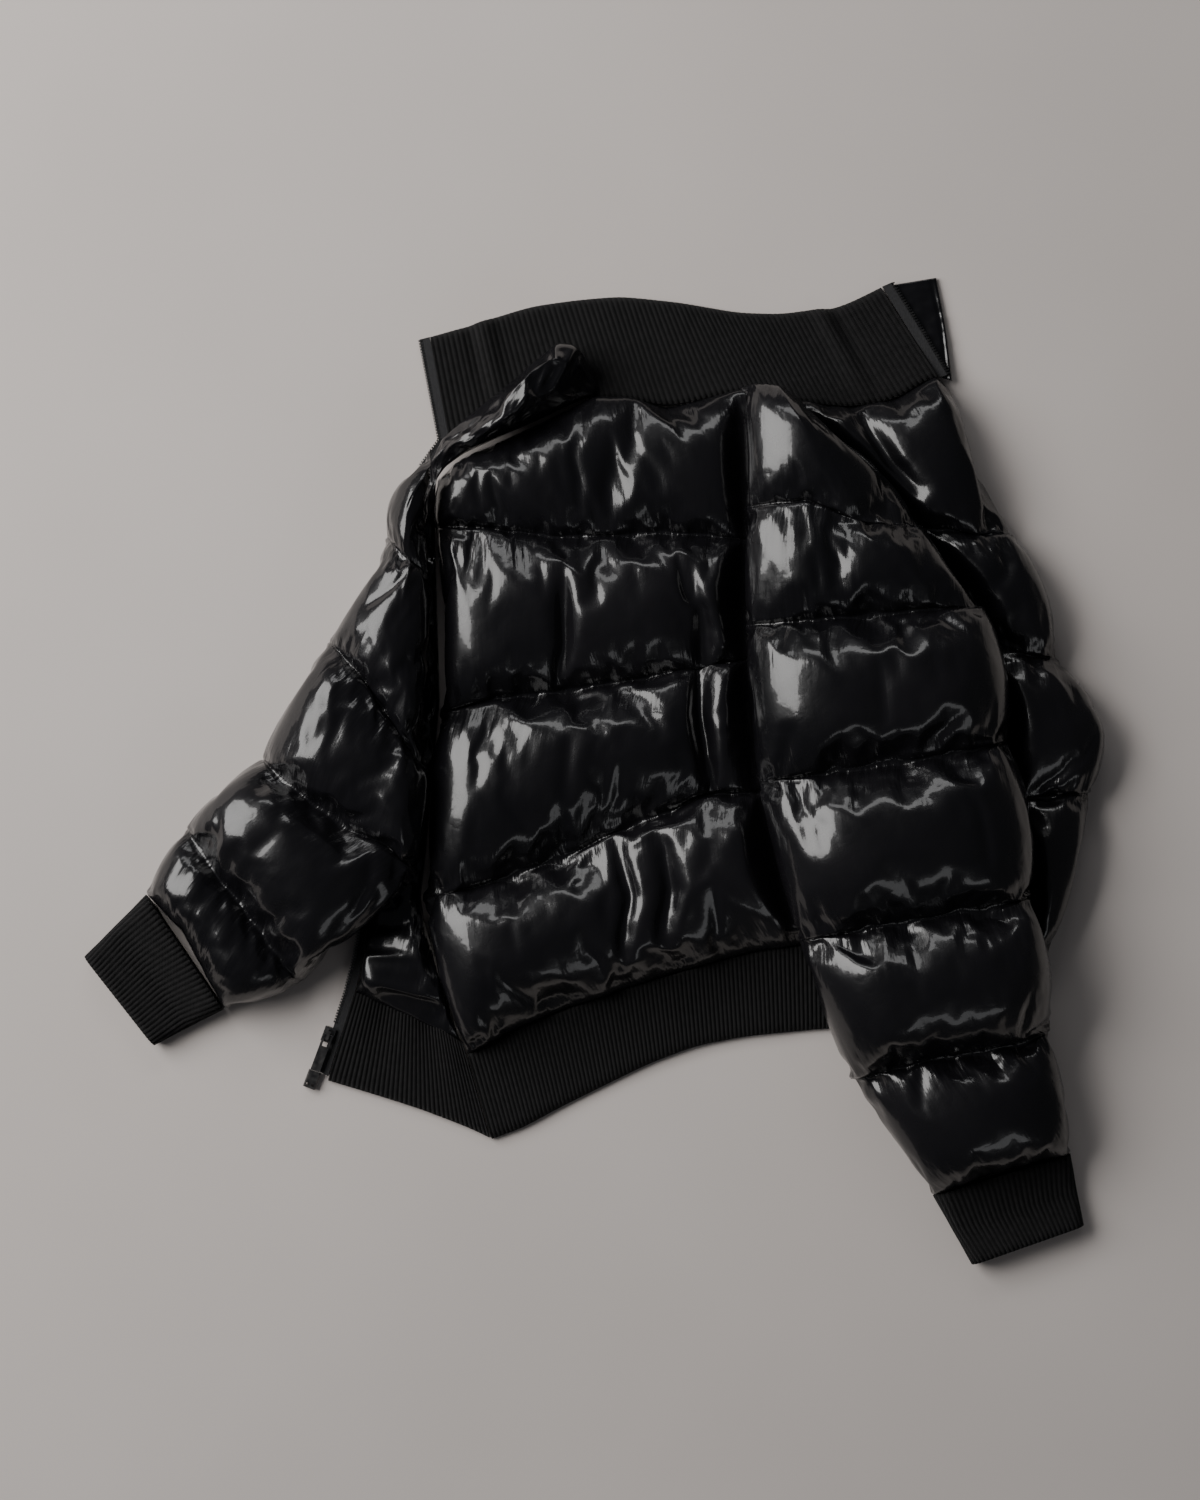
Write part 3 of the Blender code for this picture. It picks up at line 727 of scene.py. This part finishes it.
# %% The panels
BACK = Panel("back_shell", BACK_SEAMS, 4.6, Side(16, 0.5, 34), Side(0, 1.0, 1), under_nothing, pressed, [
    Crease([(-25, 150), (-22, 95), (-27, 62)], 8, 9),
    Crease([(88, 110), (86, 40), (92, -25)], 9, 11),
    Crease([(55, -48), (62, -95), (54, -140)], 8, 9),
    Crease([(20, -60), (30, -100), (22, -150)], 7, 6),
])
FRONT_RIGHT = Panel("front_right_shell", FRONT_RIGHT_SEAMS, 4.6, Side(0, 1.0, 1), Side(14, 0.45, 34),
                    under_nothing, pressed, [
    Crease([(205, 280), (235, 240), (262, 212)], 8, 8),
])
SLEEVE_RIGHT = Panel("sleeve_right_shell", SLEEVE_RIGHT_SEAMS, 4.6, Side(22, 0.42, 60), Side(22, 0.42, 60),
                     under_right_sleeve, free, [])
SLEEVE_LEFT = Panel("sleeve_left_shell", SLEEVE_LEFT_SEAMS, 4.4, Side(8, 0.42, 40), Side(10, 0.42, 34),
                    under_left_sleeve, free, [])

quilted = {}
for panel, node in ((BACK, "back"), (FRONT_RIGHT, "front_right"), (SLEEVE_RIGHT, "sleeve_right"),
                    (SLEEVE_LEFT, "sleeve_left")):
    quilted[node] = make_panel(panel, node)

# %% [markdown]
# ## The left front
#
# The left front is plump at the shoulder, runs flat under the sleeve's head and shows
# again above the hem. It bends round, so it is lofted from rows that turn with it instead
# of from level seams. Only its edges and its underside are held when it is inflated.

# %% The left front
# outer: the zip side; inner: the side at the back panel; top: height; lift: its underside.
FrontRow = namedtuple("FrontRow", "outer inner top lift")
FRONT_LEFT = [
    FrontRow((4, 300), (2, 295), 20, 14),
    FrontRow((-5, 323), (-9, 290), 46, 14),
    FrontRow((-14, 331), (-22, 284), 58, 14),
    FrontRow((-28, 334), (-38, 276), 62, 14),
    FrontRow((-45, 321), (-53, 269.5), 62, 14),
    FrontRow((-66, 303), (-70, 262), 58, 14),
    FrontRow((-88, 285), (-87, 254.5), 50, 14),
    FrontRow((-106, 271), (-101, 248), 40, 14),
    FrontRow((-118, 260), (-115, 238), 26, 14),
    FrontRow((-127, 240), (-122.4, 228), 20, 14),
    FrontRow((-133, 205), (-124.2, 200), 20, 0),
    FrontRow((-146, 54), (-120, 54), 20, 0),
    FrontRow((-167, -70), (-131.4, -70), 20, 0),
    FrontRow((-172, -100), (-135, -100), 20, 0),
    FrontRow((-175, -120), (-131.6, -120), 22, 0),
    FrontRow((-179, -145), (-123.8, -145), 31, 0),
    FrontRow((-183, -162), (-113.4, -178), 30, 0),
    FrontRow((-186, -174), (-102, -214), 12, 0),
]


FRONT_LEFT_CELL = 4.5
FRONT_LEFT_REACH = 18


def make_front_left():
    """Loft the rows, then inflate the loft with its edges held."""
    table = [(*row.outer, *row.inner, row.top, row.lift) for row in FRONT_LEFT]
    table = np.array(table, dtype=float)
    middles = (table[:, :2] + table[:, 2:4]) / 2
    stations = np.concatenate([[0], np.cumsum(np.hypot(*np.diff(middles, axis=0).T))])
    even = np.linspace(0, stations[-1], int(stations[-1] / FRONT_LEFT_CELL))
    rows = np.array([np.interp(even, stations, table[:, column]) for column in range(6)]).T
    top, bottom, pucker = [], [], []
    for outer_x, outer_y, inner_x, inner_y, high, lift in rows:
        width = hypot(outer_x - inner_x, outer_y - inner_y)
        top_row, bottom_row, pucker_row = [], [], []
        for across in eased(16):
            x = mix(outer_x, inner_x, across)
            y = mix(outer_y, inner_y, across)
            near = (1 - across) * width
            rise = min(side_rise(across * width, FRONT_LEFT_REACH), side_rise(near, 14))
            gather = wander(x, y, 7.0, 5.0) * 1.3 * float(np.exp(-near / 10.0))
            level = lift + (high - lift) * mix(0.45, 0.92, rise) + gather
            top_row.append((x, y, level))
            tuck = 1 - side_rise(across * width, 12)
            bottom_row.append((x, y, lift + (level - lift) * 0.4 * tuck))
            pucker_row.append(float(np.exp(-near / PUCKER_REACH)))
        top.append(top_row)
        bottom.append(bottom_row)
        pucker.append(pucker_row)
    piece, numbers = slab("front_left_shell", top, bottom, SHELL, pucker)
    held = set(numbers[1].ravel()) | set(numbers[0][:, -1])
    held |= set(numbers[0][0]) | set(numbers[0][-1])
    inflate(piece, held, 2.5, 0.08, 9.0)
    settle(piece, numbers, free)
    subdivide(piece)
    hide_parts("front_left")
    print(piece.name, len(top), "by", len(top[0]), "points")


make_front_left()

# %% [markdown]
# ## Rib knit
#
# Rib knit is columns of stitches that stand up and sink in turn. The ribs are coarse
# enough to see, so they are real geometry: a band gets several columns of faces for each
# rib, and every column is lifted by the rib's rounded profile. The stitches inside a rib
# are too small for that and are bump.

# %% Ribbed bands
RIB_DEPTH = 1.5
FACES_PER_RIB = 6


def rib_profile(turns):
    """Rounded ridges with narrow valleys, one for each whole turn."""
    return abs(cos(pi * turns)) ** 0.75


def rib_band(node, upper_line, lower_line, pitch, level, rows=14):
    """A band between two lines, its ribs running from one line to the other."""
    upper = smooth_line(upper_line)
    lower = smooth_line(lower_line)
    ribs = round((length_of(upper) + length_of(lower)) / 2 / pitch)
    columns = ribs * FACES_PER_RIB
    starts = [point_at(upper, column / columns) for column in range(columns + 1)]
    ends = [point_at(lower, column / columns) for column in range(columns + 1)]
    top, bottom = [], []
    for row in range(rows + 1):
        down = row / rows
        top_row, bottom_row = [], []
        for column, (a, b) in enumerate(zip(starts, ends)):
            across = column / columns
            x = mix(a[0], b[0], down)
            y = mix(a[1], b[1], down)
            low, high = level(across, down)
            ridge = (rib_profile(column / FACES_PER_RIB) - 1) * RIB_DEPTH
            sway = wander(x, y, 45.0, 7.0) * 0.9
            top_row.append((x, y, max(high + ridge + sway, low + 0.8)))
            bottom_row.append((x, y, low))
        top.append(top_row)
        bottom.append(bottom_row)
    piece, numbers = slab(node + "_knit", top, bottom, KNIT)
    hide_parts(node)


# %% The collar and the hems


def ridge_at(at, centre, half_width):
    """A rounded ridge, 1 at its centre and 0 from its half width outward."""
    away = abs(at - centre) / half_width
    return 0.0 if away >= 1 else 0.5 + 0.5 * cos(pi * away)


def collar_level(across, down):
    """The collar rises to the neck seam, and two soft pleats stand up from its top edge."""
    rise = read([(0.0, 0.0), (0.3, 8.0), (1.0, 8.0)], across) * down * down
    pleats = ridge_at(across, 0.118, 0.035) + ridge_at(across, 0.855, 0.03)
    dips = ridge_at(across, 0.085, 0.025) + ridge_at(across, 0.885, 0.025)
    pleat = 5.5 * (1 - down) ** 0.7 * pleats
    dip = 2.5 * (1 - down) * dips
    folded_edge = 2.2 * (1 - side_rise(down, 0.05))
    return rise, rise + 5.6 + pleat - dip - folded_edge


def hem_level(across, down):
    """The hem is gathered at its seam and has a rounded fold at its foot."""
    folded_edge = 4.0 * (1 - side_rise(1 - down, 0.07))
    gathered = 2.5 * (1 - down) ** 2
    return 0.0, 8.0 + gathered - folded_edge + 1.2 * sin(across * 17.0) * (1 - down)


COLLAR_TOP = [(-127.7, 341), (-99, 349), (-87, 353), (-48, 365), (-13, 370), (22, 373), (69, 368),
              (115, 360), (150, 359), (174, 363), (186, 362), (201, 367), (227, 380)]
COLLAR_FOOT = [(-112.5, 262), (-60, 278), (-4, 294), (26, 292), (58, 286), (76, 289), (113, 298),
               (150, 291), (203, 285), (222, 289), (237, 291), (252, 300), (268, 311), (271, 309)]
HEM_FOOT = [(-79, -290), (-56, -282), (-25, -265), (44, -231), (81, -217), (122, -209), (186, -203),
            (238, -202)]
HEM_TOP = [(-186.1, -174.3), (-134, -192), (-102.1, -214.3)]
FRONT_HEM_FOOT = [(-208, -244), (-165, -257), (-134, -267), (-95, -282), (-81, -289)]
HIDDEN_TOP = [(240.8, -128.5), (300, -140.4), (354, -150.4)]
HIDDEN_FOOT = [(238.6, -202), (300, -208), (340, -213)]

rib_band("collar", COLLAR_TOP, COLLAR_FOOT, 4.3, collar_level, 18)
rib_band("hem_back", HEM_SEAM, HEM_FOOT, 3.4, hem_level)
rib_band("hem_front_left", HEM_TOP, FRONT_HEM_FOOT, 3.4, hem_level)
rib_band("hem_front_right", HIDDEN_TOP, HIDDEN_FOOT, 3.4, hem_level)

# %% [markdown]
# ## Cuffs
#
# A cuff is the same knit made as a tube. Rings of points, flattened where the cuff lies on
# the surface, are bridged into an outer and an inner wall, so that its mouth is open.

# %% Ribbed cuffs
CUFF_WALL = 3.0


def cuff_ring(left, right, height, wall, ribs):
    """A flattened section from the left side round, with its ribs on the outer wall."""
    centre = (left + right) / 2
    across_axis = (right - left).normalized()
    corner = height / 2 - wall
    inner = (right - left).length / 2 - wall - corner
    count = ribs * FACES_PER_RIB
    flat_run = 4 * inner
    around = flat_run + 2 * pi * corner
    points = []
    for number in range(count):
        at = around * number / count
        deeper = (1 - rib_profile(number / FACES_PER_RIB)) * RIB_DEPTH * (1 if wall == 0 else 0)
        reach = corner - deeper
        if at < flat_run / 2:
            out, up = -inner + at, reach
        elif at < flat_run / 2 + pi * corner:
            angle = pi / 2 - (at - flat_run / 2) / corner
            out, up = inner + reach * cos(angle), reach * sin(angle)
        elif at < flat_run + pi * corner:
            out, up = inner - (at - flat_run / 2 - pi * corner), -corner
        else:
            angle = -pi / 2 - (at - flat_run - pi * corner) / corner
            out, up = -inner + reach * cos(angle), reach * sin(angle)
        points.append(centre + across_axis * out + Vector((0, 0, height / 2 + up)))
    return points, around


def make_cuff(node, seam_ends, end_ends, ribs):
    bm = bmesh.new()
    uv = bm.loops.layers.uv.new("cloth")
    walls = []
    flat = {}
    stations = 12
    for wall in (0.0, CUFF_WALL):
        rings = []
        for station in range(stations + 1):
            share = station / stations
            left = Vector((*[mix(a, b, share) for a, b in zip(seam_ends[0], end_ends[0])], 0))
            right = Vector((*[mix(a, b, share) for a, b in zip(seam_ends[1], end_ends[1])], 0))
            sag = 2.0 * sin(pi * share) ** 2
            height = mix(22.0, 18.0, min(1.0, share * 2)) - sag
            points, around = cuff_ring(left, right, height, wall, ribs)
            length = (Vector((*end_ends[0], 0)) - Vector((*seam_ends[0], 0))).length
            verts = [bm.verts.new(point * MM) for point in points]
            for number, vert in enumerate(verts):
                flat[vert] = (around * number / len(verts) * MM, length * share * MM)
            rings.append([bm.edges.new(pair) for pair in zip(verts, verts[1:] + verts[:1])])
        for one, other in zip(rings, rings[1:]):
            bmesh.ops.bridge_loops(bm, edges=one + other)
        walls.append(rings)
    for end in (0, -1):
        bmesh.ops.bridge_loops(bm, edges=walls[0][end] + walls[1][end])
    for face in bm.faces:
        for loop in face.loops:
            loop[uv].uv = flat[loop.vert]
    bmesh.ops.recalc_face_normals(bm, faces=bm.faces)
    piece = add_object(node + "_knit", bm, KNIT)
    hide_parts(node)
    print(node, ribs, "ribs,", round(around), "by", round(length), "mm")


make_cuff("cuff_left", ((-350.4, -97.4), (-289.3, -187.6)), ((-398.9, -146), (-344, -216)), 56)
make_cuff("cuff_right", ((267.2, -333.6), (375.2, -300.6)), ((298, -388), (386, -357)), 58)

# %% [markdown]
# ## Zip and wind flap
#
# The tapes, slider, pull and box keep their construction solids and get a finish. The
# teeth are one small tapered block, repeated along the tape's edge: a real zip of this
# size has one about every two millimetres.

# %% Zip teeth
TOOTH_PITCH = 2.3
LEFT_TEETH = [(-135.6, 339), (-120.5, 260), (-135.0, 240), (-141.0, 205), (-147, 150), (-151, 100),
              (-154, 54), (-164, -10), (-175, -70), (-182, -112), (-187, -145),
              (-194.4, -174.3), (-202.5, -199)]
RIGHT_TEETH = [(235.8, 384), (258.8, 347), (279.8, 311)]


TOOTH_WIDE, TOOTH_LONG, TOOTH_TALL = 3.0, 1.35, 2.6
TOOTH_TAPER = 0.7


def make_teeth(name, line, levels):
    """A row of blocks along a line, tapered towards one side; sizes in millimetres."""
    bm = bmesh.new()
    count = int(length_of(line) / TOOTH_PITCH)
    for number in range(count):
        share = (number + 0.5) / count
        x, y = point_at(line, share)
        ahead = point_at(line, min(1.0, share + 0.004))
        behind = point_at(line, max(0.0, share - 0.004))
        heading = Vector((ahead[0] - behind[0], ahead[1] - behind[1], 0)).normalized()
        side = Vector((-heading.y, heading.x, 0))
        turn = Matrix((side, heading, Vector((0, 0, 1)))).transposed().to_4x4()
        turn.translation = Vector((x, y, read(levels, share)))
        block = bmesh.ops.create_cube(bm, size=1.0)["verts"]
        for vert in block:
            narrow = TOOTH_TAPER if vert.co.x > 0 else 1.0
            long = TOOTH_LONG * narrow
            tall = TOOTH_TALL * narrow
            vert.co = Vector((vert.co.x * TOOTH_WIDE, vert.co.y * long, vert.co.z * tall))
        bmesh.ops.transform(bm, matrix=turn, verts=block)
    bmesh.ops.scale(bm, vec=(MM, MM, MM), verts=bm.verts)
    bmesh.ops.recalc_face_normals(bm, faces=bm.faces)
    piece = add_object(name, bm, METAL)
    piece.data.shade_flat()
    print(name, count, "teeth")


make_teeth("zip_teeth_left", LEFT_TEETH, [(0, 3.2), (1, 3.2)])
make_teeth("zip_teeth_right", RIGHT_TEETH, [(0, 4.9), (0.5, 7.0), (1, 9.6)])

# %% [markdown]
# The wind flap is one more piece of shell cloth, flat, and stitched 4 mm in from both of
# its long edges. Each line of stitches sinks a groove into it.

# %% Wind flap

def make_wind_flap():
    inner = smooth_line([(229, 381), (251.4, 344), (272, 309.5)])
    outer = smooth_line([(271, 388), (279, 346), (283, 306)])
    top, bottom = [], []
    rows = 60
    for row in range(rows + 1):
        share = row / rows
        a = point_at(inner, share)
        b = point_at(outer, share)
        width = hypot(a[0] - b[0], a[1] - b[1])
        low = read([(0, 0.0), (0.5, 1.6), (1, 4.4)], share)
        top_row, bottom_row = [], []
        for across in eased(18):
            x = mix(a[0], b[0], across)
            y = mix(a[1], b[1], across)
            from_edge = min(across, 1 - across) * width
            stitched = np.exp(-((from_edge - 4.0) / 1.1) ** 2) * 1.3
            ruck = wander(x * 0.5, y, 5.0, 9.0) * 0.7
            level = low + 3.4 - stitched + ruck - 1.6 * (1 - side_rise(from_edge, 2.0))
            top_row.append((x, y, max(level, low + 0.8)))
            bottom_row.append((x, y, low))
        top.append(top_row)
        bottom.append(bottom_row)
    piece, numbers = slab("wind_flap_shell", top, bottom, SHELL)
    subdivide(piece)
    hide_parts("wind_flap")


make_wind_flap()
print("wind flap made")

# %% Finishes of the zip's own solids


def finish_solids():
    """The construction solids that stay get a real finish in place of a plain one."""
    for node, finish in (("zip_tape_left", TAPE), ("zip_tape_right", TAPE), ("zip_slider", METAL),
                         ("zip_pull", METAL), ("zip_box", METAL)):
        solid = bpy.data.objects[node]
        for slot in solid.material_slots:
            slot.material = finish


finish_solids()
print("zip tapes, slider, pull and box finished")

# %% [markdown]
# ## Stitches
#
# The seams are sewn with a thick lock stitch that shows as a dotted line in each valley.
# Every stitch is a small stretched ball of few faces, laid along the seam that the
# simulation held still.

# %% Stitches along the seams
STITCH_PITCH = 4.2
STITCH_LENGTH = 2.7
STITCH_RADIUS = 0.42


def add_stitches(bm, line):
    """line: points in millimetres along the cloth's surface."""
    line = np.array(line)
    stations = np.concatenate([[0], np.cumsum(np.linalg.norm(np.diff(line, axis=0), axis=1))])
    count = int(stations[-1] / STITCH_PITCH)
    for number in range(count):
        at = (number + 0.5) * STITCH_PITCH
        point = Vector([np.interp(at, stations, line[:, axis]) for axis in range(3)])
        ahead = Vector([np.interp(at + 1.0, stations, line[:, axis]) for axis in range(3)])
        turn = (ahead - point).to_track_quat("X", "Z").to_matrix().to_4x4()
        turn.translation = point
        ball = bmesh.ops.create_icosphere(bm, subdivisions=1, radius=1.0)["verts"]
        size = Matrix.Diagonal((STITCH_LENGTH / 2, STITCH_RADIUS, STITCH_RADIUS, 1.0))
        bmesh.ops.transform(bm, matrix=turn @ size, verts=ball)
    return count


def make_stitches(name, lines):
    """All the stitches of one panel, as one object."""
    bm = bmesh.new()
    total = sum(add_stitches(bm, line) for line in lines)
    bmesh.ops.scale(bm, vec=(MM, MM, MM), verts=bm.verts)
    piece = add_object(name, bm, THREAD)
    print(name, total, "stitches")


STITCH_LIFT = Vector((0, 0, 0.7))


def seam_points(piece, numbers, rows):
    """The cloth's own points along some of its rows, lifted to lie on it."""
    verts = piece.data.vertices
    return [[verts[int(number)].co / MM + STITCH_LIFT for number in numbers[0][row]] for row in rows]


for node, (piece, numbers, seam_rows) in quilted.items():
    make_stitches(node + "_stitches", seam_points(piece, numbers, seam_rows[1:-1]))
